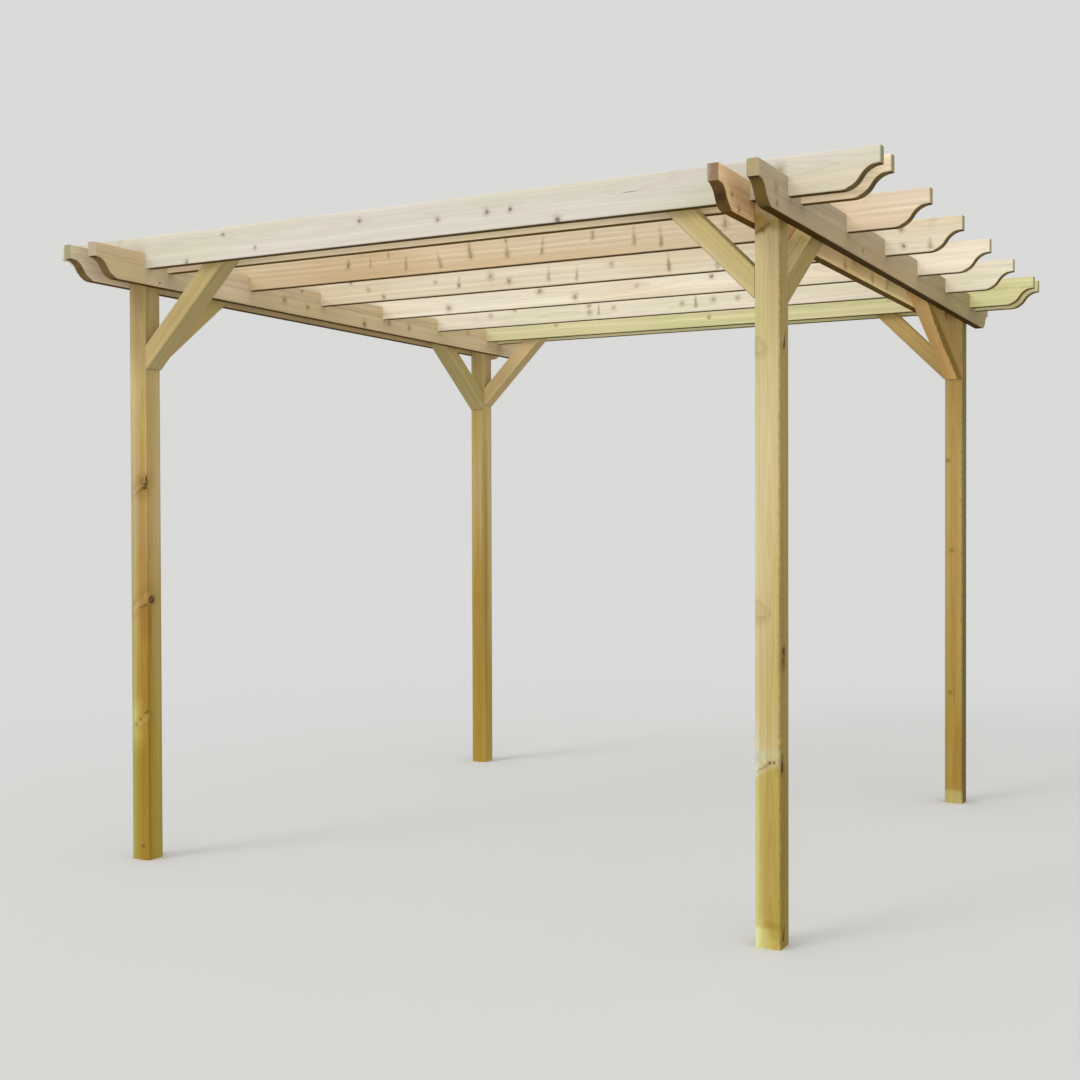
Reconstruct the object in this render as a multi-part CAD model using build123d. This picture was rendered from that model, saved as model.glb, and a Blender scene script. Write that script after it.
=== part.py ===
"""Garden pergola: four square posts, paired side rails, halved rafters and knee braces.

Units are millimetres. X runs left to right, Y from front to back, Z up.
The origin lies on the ground at the middle of the plan.
"""
import math
import os

from build123d import *

# Plan and height, measured over the outer faces of the posts
plan_width = 3070.0
plan_depth = 3110.0
rail_underside = 2590.0

# Timber sections
post_size = 95.0
timber_thickness = 45.0
timber_depth = 140.0
brace_depth = 80.0

# Edges taken off the sawn timber
post_edge_radius = 6.0
timber_edge_ease = 3.0
brace_edge_ease = 4.0

# Ends that run past the outer faces of the posts
rafter_overhang = 370.0
rail_overhang = 345.0

# Shaped ends: a straight nose above an S curve
nose_height = 60.0
ogee_run = 140.0

# Halving joints between rafters and rails
lap_depth = 70.0
notch_clearance = 0.3

# Rafters between the front pair and the rear pair
middle_rafter_names = [
    "second_rafter",
    "third_rafter",
    "fourth_rafter",
    "fifth_rafter",
]

# Knee braces: how far each toe sits below the timbers that hold the brace, and its pitch
front_left_cross_drop = 447.0
front_right_cross_drop = 343.0
rear_left_cross_drop = 400.0
rear_right_cross_drop = 376.0
cross_brace_angle = 45.0
left_side_drop = 355.0
left_side_angle = 37.0
front_right_side_drop = 283.0
front_right_side_angle = 34.0
rear_right_side_drop = 306.0
rear_right_side_angle = 24.0
brace_toe = 8.0

# Brace heads stop short of the rafter tops, or of the rafters that cross above them
cross_head_clearance = 15.0
side_head_clearance = 6.0

# Derived sizes
post_top = rail_underside + timber_depth
rafter_underside = rail_underside + timber_depth - lap_depth
notch_depth = lap_depth / 2
post_x = plan_width / 2 - post_size / 2
post_y = plan_depth / 2 - post_size / 2
pair_offset = post_size / 2 + timber_thickness / 2
rafter_length = plan_width + 2 * rafter_overhang
rail_length = plan_depth + 2 * rail_overhang
ogee_rise = timber_depth - nose_height
ogee_radius = (ogee_run**2 + ogee_rise**2) / (4 * ogee_rise)
ogee_half_turn = math.atan(ogee_rise / ogee_run)


def timber(length):
    """A board on edge along X with both lower ends cut to an S curve."""
    half = length / 2
    middle_x = half - ogee_run / 2
    middle_z = ogee_rise / 2
    reach = ogee_radius * math.sin(ogee_half_turn)
    dip = ogee_radius * (1 - math.cos(ogee_half_turn))
    cove = (half - reach, ogee_rise - dip)
    round_over = (half - ogee_run + reach, dip)
    with BuildSketch(Plane.XZ) as outline:
        with BuildLine():
            Line((-half + ogee_run, 0), (half - ogee_run, 0))
            ThreePointArc((half - ogee_run, 0), round_over, (middle_x, middle_z))
            ThreePointArc((middle_x, middle_z), cove, (half, ogee_rise))
            Line((half, ogee_rise), (half, timber_depth))
            Line((half, timber_depth), (-half, timber_depth))
            Line((-half, timber_depth), (-half, ogee_rise))
            ThreePointArc((-half, ogee_rise), (-cove[0], cove[1]), (-middle_x, middle_z))
            ThreePointArc(
                (-middle_x, middle_z), (-round_over[0], round_over[1]), (-half + ogee_run, 0)
            )
        make_face()
    board = extrude(outline.sketch, amount=timber_thickness / 2, both=True)
    sides = board.faces().filter_by(Axis.Y)
    return chamfer(sides.edges(), timber_edge_ease)


def notch(depth):
    """The block cut from a board where another board crosses it."""
    width = timber_thickness + 2 * notch_clearance
    return Box(width, 2 * timber_thickness, 2 * depth)


def rafter(y_position, rail_lines):
    """A rafter across the rails, notched from below over each rail."""
    board = timber(rafter_length)
    for x_position in rail_lines:
        board -= Pos(x_position, 0, 0) * notch(notch_depth)
    return Pos(0, y_position, rafter_underside) * board


def rail(x_position, rafter_lines):
    """A side rail along Y, notched from above under each rafter."""
    board = timber(rail_length)
    for y_position in rafter_lines:
        board -= Pos(y_position, 0, timber_depth) * notch(notch_depth)
    return Pos(x_position, 0, rail_underside) * Rot(0, 0, 90) * board


def post(x_position, y_position):
    """A square post with rounded corners, level with the top of the rails."""
    column = Pos(0, 0, post_top / 2) * Box(post_size, post_size, post_top)
    column = fillet(column.edges().filter_by(Axis.Z), post_edge_radius)
    return Pos(x_position, y_position, 0) * column


def brace(drop, angle, head_level):
    """A knee brace that rises along X from a post face at the origin.

    The origin is level with the underside of the pair that holds its head.
    """
    slope = math.radians(angle)
    toe_level = -drop + brace_toe * math.tan(slope)
    heel_level = -drop + brace_depth / math.cos(slope)
    low_reach = (head_level + drop) / math.tan(slope)
    high_reach = (head_level - heel_level) / math.tan(slope)
    outline = Polygon(
        (0, toe_level),
        (brace_toe, toe_level),
        (low_reach, head_level),
        (high_reach, head_level),
        (0, heel_level),
        align=None,
    )
    stick = extrude(Plane.XZ * outline, amount=post_size / 2, both=True)
    run = Vector(math.cos(slope), 0, math.sin(slope))
    long_edges = stick.edges().filter_by(Axis((0, 0, 0), run))
    return chamfer(long_edges, brace_edge_ease)


os.makedirs("parts", exist_ok=True)
nodes = {}

# Lines that the rails and rafters follow
rail_lines = [
    -post_x - pair_offset,
    -post_x + pair_offset,
    post_x - pair_offset,
    post_x + pair_offset,
]
first_bay_line = -post_y + pair_offset
last_bay_line = post_y - pair_offset
bay = (last_bay_line - first_bay_line) / (len(middle_rafter_names) + 1)
rafter_places = {
    "front_outer_rafter": -post_y - pair_offset,
    "front_inner_rafter": first_bay_line,
}
for index, name in enumerate(middle_rafter_names):
    rafter_places[name] = first_bay_line + bay * (index + 1)
rafter_places["rear_inner_rafter"] = last_bay_line
rafter_places["rear_outer_rafter"] = post_y + pair_offset
rafter_lines = list(rafter_places.values())

# Posts
nodes["front_left_post"] = post(-post_x, -post_y)
nodes["front_right_post"] = post(post_x, -post_y)
nodes["rear_left_post"] = post(-post_x, post_y)
nodes["rear_right_post"] = post(post_x, post_y)

# Side rails
nodes["left_outer_rail"] = rail(rail_lines[0], rafter_lines)
nodes["left_inner_rail"] = rail(rail_lines[1], rafter_lines)
nodes["right_inner_rail"] = rail(rail_lines[2], rafter_lines)
nodes["right_outer_rail"] = rail(rail_lines[3], rafter_lines)

# Rafters
for name, y_position in rafter_places.items():
    nodes[name] = rafter(y_position, rail_lines)

# Knee braces
inner_x = post_x - post_size / 2
inner_y = post_y - post_size / 2
turned = Rot(0, 0, 180)
backward = Rot(0, 0, 90)
forward = Rot(0, 0, -90)
cross_head = timber_depth - cross_head_clearance
side_head = lap_depth - side_head_clearance
front_left_cross = brace(front_left_cross_drop, cross_brace_angle, cross_head)
front_right_cross = brace(front_right_cross_drop, cross_brace_angle, cross_head)
rear_left_cross = brace(rear_left_cross_drop, cross_brace_angle, cross_head)
rear_right_cross = brace(rear_right_cross_drop, cross_brace_angle, cross_head)
left_side = brace(left_side_drop, left_side_angle, side_head)
front_right_side = brace(front_right_side_drop, front_right_side_angle, side_head)
rear_right_side = brace(rear_right_side_drop, rear_right_side_angle, side_head)
cross_z = rafter_underside
side_z = rail_underside
nodes["front_left_cross_brace"] = Pos(-inner_x, -post_y, cross_z) * front_left_cross
nodes["front_right_cross_brace"] = Pos(inner_x, -post_y, cross_z) * turned * front_right_cross
nodes["rear_left_cross_brace"] = Pos(-inner_x, post_y, cross_z) * rear_left_cross
nodes["rear_right_cross_brace"] = Pos(inner_x, post_y, cross_z) * turned * rear_right_cross
nodes["front_left_side_brace"] = Pos(-post_x, -inner_y, side_z) * backward * left_side
nodes["front_right_side_brace"] = Pos(post_x, -inner_y, side_z) * backward * front_right_side
nodes["rear_left_side_brace"] = Pos(-post_x, inner_y, side_z) * forward * left_side
nodes["rear_right_side_brace"] = Pos(post_x, inner_y, side_z) * forward * rear_right_side

for name, shape in nodes.items():
    shape.label = name
    export_step(shape, f"parts/{name}.step")
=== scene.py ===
"""Looks of a garden pergola: planed, pressure treated softwood posts, rails, rafters and braces."""
import math
import random

import bmesh
import bpy
from mathutils import Matrix, Vector


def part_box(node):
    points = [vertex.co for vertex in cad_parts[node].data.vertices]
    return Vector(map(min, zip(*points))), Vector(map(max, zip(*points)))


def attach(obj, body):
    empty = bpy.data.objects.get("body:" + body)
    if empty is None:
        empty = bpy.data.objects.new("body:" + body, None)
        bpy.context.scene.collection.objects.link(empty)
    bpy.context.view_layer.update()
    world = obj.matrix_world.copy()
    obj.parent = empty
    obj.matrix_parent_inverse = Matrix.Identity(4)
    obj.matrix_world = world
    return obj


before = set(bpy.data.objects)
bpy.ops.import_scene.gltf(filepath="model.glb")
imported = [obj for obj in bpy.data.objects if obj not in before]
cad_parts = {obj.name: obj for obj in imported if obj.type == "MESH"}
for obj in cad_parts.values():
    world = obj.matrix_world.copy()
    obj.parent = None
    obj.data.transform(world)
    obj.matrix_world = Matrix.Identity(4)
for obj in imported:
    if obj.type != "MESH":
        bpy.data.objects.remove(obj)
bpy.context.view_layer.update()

BODY = "root"

# The camera, in metres and degrees, in the frame of the structure
CAMERA_PLACE = Vector((3.204, -6.480, 1.527))
CAMERA_YAW = 28.13
CAMERA_PITCH = -0.725
CAMERA_ROLL = -0.168
CAMERA_LENS = 48.32
CAMERA_REACH = 200
SENSOR_WIDTH = 36.0

# Colours of dry treated softwood, linear red, green and blue. Some also hold painted light and
# shade, as noted at each
WHITE_CREAM = (0.62, 0.57, 0.49)
CREAM = (0.71, 0.635, 0.48)
PALE_CREAM = (0.74, 0.66, 0.53)
BRIGHT_CREAM = (0.79, 0.715, 0.57)
WARM_CREAM = (0.67, 0.55, 0.38)
GOLD_CREAM = (0.90, 0.74, 0.51)
GREEN_CREAM = (0.63, 0.575, 0.33)
PALE_KHAKI = (0.55, 0.45, 0.235)
OLIVE_TAN = (0.45, 0.34, 0.145)
PALE_OLIVE = (0.49, 0.385, 0.17)
LIGHT_OLIVE = (0.58, 0.43, 0.21)
TAN = (0.50, 0.39, 0.18)
SOFT_TAN = (0.60, 0.46, 0.275)
GREY_TAN = (0.70, 0.59, 0.43)
GREY_BROWN = (0.43, 0.35, 0.225)
# Light enough to be painted light on the right inner rail's shaded right face; its top and left face
# are toned back
PINK_TAN = (0.85, 0.60, 0.34)
ORANGE_TAN = (0.86, 0.55, 0.215)
DARK_OLIVE = (0.36, 0.26, 0.095)
BROWN_TAN = (0.48, 0.34, 0.13)
HONEY = (0.45, 0.265, 0.070)
KNOT_BROWN = (0.060, 0.034, 0.009)
KNOT_RIM = (0.21, 0.12, 0.032)
BRANCH_TINT = (1.33, 1.35, 1.70)
GREEN_STAIN = (0.95, 0.99, 0.90)
GREY_STAIN = (0.93, 0.93, 0.95)
BROWN_STAIN = (0.97, 0.92, 0.86)
# Painted shade for the faces that look straight down
UNDER_PAINTED_SHADE = (0.23, 0.155, 0.035)
# Painted shade, with some darker end grain, for the curves of the shaped ends that look down
CUT_PAINTED_SHADE = (0.30, 0.23, 0.09)
DARK_CUT_PAINTED_SHADE = (0.21, 0.17, 0.08)
SOFT_CUT_PAINTED_SHADE = (0.50, 0.44, 0.22)
END_TINT = (0.90, 0.88, 0.72)
# End grain with painted shade, for end faces that lie in shade
SHADED_END_TINT = (0.44, 0.45, 0.32)

# The other colours
CHECK_COLOUR = (0.035, 0.022, 0.012)
DARK_STEEL = (0.10, 0.085, 0.05)
LIGHT_STEEL = (0.24, 0.21, 0.14)
FLOOR_COLOUR = (0.754, 0.754, 0.742)
SKY_COLOUR = (0.70, 0.70, 0.69)
WHITE = (1.0, 1.0, 1.0)

# The middle of a coloured noise
NOISE_MIDDLE = (0.5, 0.5, 0.5)

# Sizes in the grain, in metres
RING_WIDTH = 0.0034
# How far in from an arris the painted highlight reaches
ARRIS_HIGHLIGHT_WIDTH = 0.0045
CHECK_DEPTH = 0.0015
BUMP_DEPTH = 0.0007
KNOT_START = 0.001
EDGE_RAGGEDNESS = 0.014
HEART_RAGGEDNESS = 0.05
HEART_EDGE = 0.018
TRUNK_BEND = (0, 0.026, 0.026)
RING_WOBBLE = 0.0022
LEAST_HALF_WIDTH = 1e-6

# How fine each noise is along the timber, across it and up, per metre
TRUNK_NOISE = (1.1, 3, 3)
RING_NOISE = (9, 45, 45)
FIBRE_NOISE = (4, 190, 190)
STREAK_NOISE = (0.9, 42, 42)
BLOTCH_NOISE = (1.3, 7, 7)
EDGE_NOISE = (45, 75, 75)
MOTTLE_NOISE = (90, 160, 160)
AGE_NOISE = 60.0
BAND_NOISE = 110.0
CHECK_NOISE = 3.0
STEEL_NOISE = 900.0

# How much each part of the grain darkens or lightens the wood
LATE_SHADE = 0.10
BAND_SHADE = 0.26
STREAK_SHADE = 0.30
FIBRE_SHADE = 0.22
LATE_WOOD_POWER = (1.04, 1.08, 1.15)
# How much the painted highlight along the arrises lightens the wood
ARRIS_HIGHLIGHT_GAIN = 1.25

# How many years the rings may run ahead, how softly they bend round a knot, and how far a
# drying check wanders round the pith, in radians
RING_SPREAD = 3.0
RING_BEND = 0.8
CHECK_WANDER = 0.12

# Soft steps: where each starts and ends and, with four numbers, the values that it goes between.
# A knot's edges are in shares of its radius, and a check's in shares of its half width
KNOT_EDGE = (1.35, 0.60)
CORE_EDGE = (0.15, 0.55)
PALE_EDGE = (1.3, 0.5)
HALO_EDGE = (3.6, 0.9, 0.0, 0.26)
CHECK_EDGE = (1.4, 0.6)
BRANCH_DARKENS = (0.0, 0.7, 0.45, 1.0)
LATE_WOOD_STARTS = (0.35, 0.92)
LATE_WOOD_ENDS = (0.94, 1.0)
STAIN_EDGE = (0.42, 0.62)
# How the fibre breaks up the painted highlight along the arrises
HIGHLIGHT_BY_FIBRE = (0.35, 0.6, 0.15, 0.5)
MOTTLED_KNOT = (0.30, 0.60, 0.55, 1.0)

# The same for how squarely a face looks up, down, or along the timber, from 0 to 1. A curve of
# a shaped end looks down and along
TOP_FACE = (0.80, 0.95)
UNDER_FACE = (0.93, 0.99)
END_FACE = (0.5, 0.9)
CUT_DOWN = (0.10, 0.45)
CUT_ALONG = (0.10, 0.28)

# How far off a knot is where there is none, in its radii
NO_KNOT = 9.0

# The shine and the relief of the planed faces
SHEEN = 0.14
UNDER_SHEEN = 0.02
ROUGHNESS = 0.72
LATE_POLISH = 0.10
FIBRE_ROUGHNESS = 0.12
LATE_RELIEF = 0.22
FIBRE_RELIEF = 0.55
BUMP_STRENGTH = 0.6

# How far a branch rises towards its end, as a share of its length
BRANCH_RISE = 0.35


def feed(tree, socket, value):
    """Links a socket to another one, or sets it to a number, a vector or a colour."""
    if isinstance(value, bpy.types.NodeSocket):
        tree.links.new(value, socket)
    elif socket.type == "RGBA":
        socket.default_value = (*value, 1)
    else:
        socket.default_value = value


class Graph:
    """Adds shader nodes to a tree and hands back their outputs, so that a formula reads as one."""

    def __init__(self, tree):
        self.tree = tree

    def node(self, kind, **settings):
        made = self.tree.nodes.new(kind)
        for name, value in settings.items():
            setattr(made, name, value)
        return made

    def math(self, operation, *values):
        made = self.node("ShaderNodeMath", operation=operation)
        for socket, value in zip(made.inputs, values):
            feed(self.tree, socket, value)
        return made.outputs[0]

    def vector(self, operation, *values):
        made = self.node("ShaderNodeVectorMath", operation=operation)
        for socket, value in zip(made.inputs, values):
            feed(self.tree, socket, value)
        gives_number = operation in ("DOT_PRODUCT", "LENGTH", "DISTANCE")
        return made.outputs["Value" if gives_number else "Vector"]

    def scaled(self, vector, factor):
        made = self.node("ShaderNodeVectorMath", operation="SCALE")
        feed(self.tree, made.inputs["Vector"], vector)
        feed(self.tree, made.inputs["Scale"], factor)
        return made.outputs["Vector"]

    def ramp(self, value, start, end, low=0.0, high=1.0):
        """A smooth step from low to high, as value goes from start to end."""
        made = self.node("ShaderNodeMapRange", interpolation_type="SMOOTHSTEP")
        for socket, given in zip(made.inputs, (value, start, end, low, high)):
            feed(self.tree, socket, given)
        return made.outputs["Result"]

    def mix(self, factor, first, second, blend="MIX"):
        made = self.node("ShaderNodeMix", data_type="RGBA", blend_type=blend)
        feed(self.tree, made.inputs[0], factor)
        colours = [socket for socket in made.inputs if socket.type == "RGBA"]
        feed(self.tree, colours[0], first)
        feed(self.tree, colours[1], second)
        return next(socket for socket in made.outputs if socket.type == "RGBA")

    def noise(self, vector, detail=2.0, colour=False):
        made = self.node("ShaderNodeTexNoise", noise_dimensions="3D")
        feed(self.tree, made.inputs["Vector"], vector)
        made.inputs["Scale"].default_value = 1.0
        made.inputs["Detail"].default_value = detail
        return made.outputs["Color" if colour else "Fac"]

    def noise_along(self, value, scale, detail=1.0):
        """Noise that varies with one number only."""
        made = self.node("ShaderNodeTexNoise", noise_dimensions="1D")
        feed(self.tree, made.inputs["W"], value)
        made.inputs["Scale"].default_value = scale
        made.inputs["Detail"].default_value = detail
        return made.outputs["Fac"]

    def group(self, tree, **values):
        """Puts in a node group and feeds the inputs that are named, with _ for a blank."""
        made = self.node("ShaderNodeGroup", node_tree=tree)
        for name, value in values.items():
            feed(self.tree, made.inputs[name.replace("_", " ")], value)
        return made.outputs


def new_group(name, inputs, outputs):
    """An empty node group, with the outputs of its entry node and the inputs of its exit node."""
    tree = bpy.data.node_groups.new(name, "ShaderNodeTree")
    for direction, sockets in (("INPUT", inputs), ("OUTPUT", outputs)):
        for label, kind in sockets.items():
            tree.interface.new_socket(label, in_out=direction, socket_type="NodeSocket" + kind)
    entry = tree.nodes.new("NodeGroupInput")
    leave = tree.nodes.new("NodeGroupOutput")
    return tree, entry.outputs, leave.inputs


def knot_group():
    """A branch cut by the saw: a cone with a round end, and how far off it is, in its own radii."""
    tree, given, result = new_group(
        "knot",
        {"Position": "Vector", "Start": "Vector", "Direction": "Vector", "Length": "Float",
         "Slope": "Float", "Shade": "Float", "Core": "Float", "Pale": "Float",
         "Nearest": "Float", "Darkest": "Float", "Palest": "Float"},
        {"Nearest": "Float", "Darkest": "Float", "Palest": "Float"},
    )
    g = Graph(tree)
    from_start = g.vector("SUBTRACT", given["Position"], given["Start"])
    ahead = g.vector("DOT_PRODUCT", from_start, given["Direction"])
    reach = g.math("MINIMUM", g.math("MAXIMUM", ahead, KNOT_START), given["Length"])
    beside = g.vector("DISTANCE", from_start, g.scaled(given["Direction"], reach))
    widen = g.math("MULTIPLY", g.math("ADD", reach, given["Length"]), 0.5)
    share = g.math("DIVIDE", beside, g.math("MULTIPLY", widen, given["Slope"]))
    core = g.ramp(share, *CORE_EDGE, given["Core"], 1.0)
    spot = g.math("MULTIPLY", g.ramp(share, *KNOT_EDGE), core)
    grown = g.ramp(g.math("DIVIDE", reach, given["Length"]), *BRANCH_DARKENS)
    spot = g.math("MULTIPLY", spot, g.math("MULTIPLY", grown, given["Shade"]))
    feed(tree, result["Nearest"], g.math("MINIMUM", share, given["Nearest"]))
    feed(tree, result["Darkest"], g.math("MAXIMUM", spot, given["Darkest"]))
    light = g.math("MULTIPLY", g.ramp(share, *PALE_EDGE), given["Pale"])
    feed(tree, result["Palest"], g.math("MAXIMUM", light, given["Palest"]))
    return tree


def check_group():
    """A drying split that runs along the grain, open at the surface, at one angle round the pith."""
    tree, given, result = new_group(
        "drying check",
        {"Position": "Vector", "Pith": "Vector", "Angle": "Float", "Middle": "Float",
         "Half length": "Float", "Width": "Float", "Open": "Float"},
        {"Open": "Float"},
    )
    g = Graph(tree)
    parts = g.node("ShaderNodeSeparateXYZ")
    feed(tree, parts.inputs[0], g.vector("SUBTRACT", given["Position"], given["Pith"]))
    angle = g.math("ARCTAN2", parts.outputs["Z"], parts.outputs["Y"])
    uneven = g.noise_along(parts.outputs["X"], CHECK_NOISE)
    wander = g.math("MULTIPLY", g.math("SUBTRACT", uneven, 0.5), CHECK_WANDER)
    turn = g.math("ADD", g.math("SUBTRACT", angle, given["Angle"]), wander)
    turn = g.math("WRAP", turn, math.pi, -math.pi)
    cross = g.vector("MULTIPLY", g.vector("SUBTRACT", given["Position"], given["Pith"]), (0, 1, 1))
    beside = g.math("MULTIPLY", g.math("ABSOLUTE", turn), g.vector("LENGTH", cross))
    from_middle = g.math("SUBTRACT", parts.outputs["X"], given["Middle"])
    along = g.math("DIVIDE", from_middle, given["Half length"])
    taper = g.math("MAXIMUM", g.math("SUBTRACT", 1.0, g.math("MULTIPLY", along, along)), 0.0)
    width = g.math("MULTIPLY", given["Width"], taper)
    half_width = g.math("ADD", g.math("MULTIPLY", width, 0.5), LEAST_HALF_WIDTH)
    share = g.math("DIVIDE", beside, half_width)
    feed(tree, result["Open"], g.math("MAXIMUM", g.ramp(share, *CHECK_EDGE), given["Open"]))
    return tree


def patch_group():
    """An egg shaped place with another tint and a soft edge, for the wood's own tone and for painted
    light and shade.
    """
    tree, given, result = new_group(
        "patch",
        {"Position": "Vector", "Centre": "Vector", "Size": "Vector", "Soft": "Float",
         "Tint": "Color", "Under": "Color"},
        {"Tint": "Color"},
    )
    g = Graph(tree)
    from_centre = g.vector("SUBTRACT", given["Position"], given["Centre"])
    share = g.vector("LENGTH", g.vector("DIVIDE", from_centre, given["Size"]))
    outer = g.math("ADD", 1.0, given["Soft"])
    inner = g.math("SUBTRACT", 1.0, given["Soft"])
    tinted = g.vector("MULTIPLY", given["Under"], given["Tint"])
    feed(tree, result["Tint"], g.mix(g.ramp(share, outer, inner), given["Under"], tinted))
    return tree


def grain_group():
    """Sawn softwood, from a place in the timber measured along it and across it."""
    tree, given, result = new_group(
        "softwood",
        {"Position": "Vector", "Pith": "Vector", "Seed": "Vector", "Half size": "Vector",
         "Heart low": "Float", "Heart high": "Float",
         "Sap": "Color", "Heart": "Color", "Stain": "Color", "Tint": "Color", "Contrast": "Float",
         "Knot distance": "Float", "Knot darkness": "Float", "Knot paleness": "Float",
         "Open": "Float", "End": "Float", "End tint": "Color",
         "Under": "Float", "Cut": "Float", "Cut tint": "Color"},
        {"Color": "Color", "Roughness": "Float", "Height": "Float"},
    )
    g = Graph(tree)
    place = g.vector("ADD", given["Position"], given["Seed"])
    bend = g.noise(g.vector("MULTIPLY", place, TRUNK_NOISE), 1.0, True)
    bend = g.vector("MULTIPLY", g.vector("SUBTRACT", bend, NOISE_MIDDLE), TRUNK_BEND)
    wobble = g.noise(g.vector("MULTIPLY", place, RING_NOISE), 2.0, True)
    wobble = g.scaled(g.vector("SUBTRACT", wobble, NOISE_MIDDLE), RING_WOBBLE)
    warped = g.vector("ADD", g.vector("ADD", given["Position"], bend), wobble)

    from_pith = g.vector("MULTIPLY", g.vector("SUBTRACT", warped, given["Pith"]), (0, 1, 1))
    round_knot = g.math("SMOOTH_MIN", 1.0, given["Knot distance"], RING_BEND)
    age = g.math("MULTIPLY", g.vector("LENGTH", from_pith), round_knot)
    uneven_years = g.math("MULTIPLY", g.noise_along(age, AGE_NOISE), RING_SPREAD)
    season = g.math("FRACT", g.math("ADD", g.math("DIVIDE", age, RING_WIDTH), uneven_years))
    starts = g.ramp(season, *LATE_WOOD_STARTS)
    late_wood = g.math("SUBTRACT", starts, g.ramp(season, *LATE_WOOD_ENDS))
    bands = g.noise_along(age, BAND_NOISE, 2.0)
    fibre = g.noise(g.vector("MULTIPLY", place, FIBRE_NOISE), 3.0)
    streaks = g.noise(g.vector("MULTIPLY", place, STREAK_NOISE), 2.0)
    blotches = g.noise(g.vector("MULTIPLY", place, BLOTCH_NOISE), 2.0)

    half = g.node("ShaderNodeSeparateXYZ")
    feed(tree, half.inputs[0], given["Half size"])
    spot = g.node("ShaderNodeSeparateXYZ")
    feed(tree, spot.inputs[0], given["Position"])
    along = g.math("DIVIDE", spot.outputs["X"], half.outputs["X"])
    heart_radius = g.ramp(along, -1.0, 1.0, given["Heart low"], given["Heart high"])
    ragged = g.math("MULTIPLY", g.math("SUBTRACT", blotches, 0.5), HEART_RAGGEDNESS)
    inside = g.math("SUBTRACT", g.math("ADD", heart_radius, ragged), g.vector("LENGTH", from_pith))
    wood = g.mix(g.ramp(inside, -HEART_EDGE, HEART_EDGE), given["Sap"], given["Heart"])
    wood = g.mix(g.ramp(blotches, *STAIN_EDGE), wood, given["Stain"], "MULTIPLY")
    wood = g.vector("MULTIPLY", wood, given["Tint"])

    late_shade = g.math("MULTIPLY", late_wood, LATE_SHADE)
    band_shade = g.math("MULTIPLY", g.math("SUBTRACT", bands, 0.5), BAND_SHADE)
    streak_shade = g.math("MULTIPLY", g.math("SUBTRACT", streaks, 0.5), STREAK_SHADE)
    fibre_shade = g.math("MULTIPLY", g.math("SUBTRACT", fibre, 0.5), FIBRE_SHADE)
    broad_shade = g.math("ADD", late_shade, band_shade)
    fine_shade = g.math("ADD", streak_shade, fibre_shade)
    shade = g.math("ADD", broad_shade, fine_shade)
    light = g.math("SUBTRACT", 1.0, g.math("MULTIPLY", shade, given["Contrast"]))
    darker = g.vector("POWER", wood, LATE_WOOD_POWER)
    wood = g.mix(g.math("MULTIPLY", late_wood, 0.5), wood, darker)
    wood = g.scaled(wood, light)

    halo = g.ramp(given["Knot distance"], *HALO_EDGE)
    wood = g.mix(halo, wood, KNOT_RIM)
    wood = g.mix(given["Knot paleness"], wood, g.vector("MULTIPLY", wood, BRANCH_TINT))
    wood = g.mix(given["Knot darkness"], wood, KNOT_BROWN)

    to_side = g.math("SUBTRACT", half.outputs["Y"], g.math("ABSOLUTE", spot.outputs["Y"]))
    to_top = g.math("SUBTRACT", half.outputs["Z"], g.math("ABSOLUTE", spot.outputs["Z"]))
    to_arris = g.math("MAXIMUM", to_side, to_top)
    # A painted highlight along the arrises, broken up by the fibre
    highlight_breakup = g.ramp(fibre, *HIGHLIGHT_BY_FIBRE)
    arris = g.math("MULTIPLY", g.ramp(to_arris, ARRIS_HIGHLIGHT_WIDTH, 0.4 * ARRIS_HIGHLIGHT_WIDTH), highlight_breakup)
    wood = g.mix(arris, wood, g.scaled(wood, ARRIS_HIGHLIGHT_GAIN))
    # End grain is darker; the end tints of ends that lie in shade add painted shade
    wood = g.mix(given["End"], wood, g.vector("MULTIPLY", wood, given["End tint"]))
    # Painted shade on the faces that look straight down
    wood = g.mix(given["Under"], wood, g.vector("MULTIPLY", wood, UNDER_PAINTED_SHADE))
    # Painted shade, with some darker end grain, on the curves of the shaped ends that look down
    wood = g.mix(given["Cut"], wood, g.vector("MULTIPLY", wood, given["Cut tint"]))
    wood = g.mix(given["Open"], wood, CHECK_COLOUR)
    feed(tree, result["Color"], wood)

    smooth = g.math("SUBTRACT", ROUGHNESS, g.math("MULTIPLY", late_wood, LATE_POLISH))
    rough = g.math("MULTIPLY", fibre, FIBRE_ROUGHNESS)
    feed(tree, result["Roughness"], g.math("ADD", smooth, rough))
    ridges = g.math("MULTIPLY", late_wood, LATE_RELIEF)
    relief = g.math("ADD", ridges, g.math("MULTIPLY", fibre, FIBRE_RELIEF))
    gap = g.math("MULTIPLY", given["Open"], CHECK_DEPTH / BUMP_DEPTH)
    feed(tree, result["Height"], g.math("SUBTRACT", relief, gap))
    return tree


KNOT = knot_group()
CHECK = check_group()
PATCH = patch_group()
SOFTWOOD = grain_group()

# The axis that each face looks along, and whether it looks to that axis's far end
FACE_AXES = {"front": (1, 0), "back": (1, 1), "left": (0, 0), "right": (0, 1), "top": (2, 1)}


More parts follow.
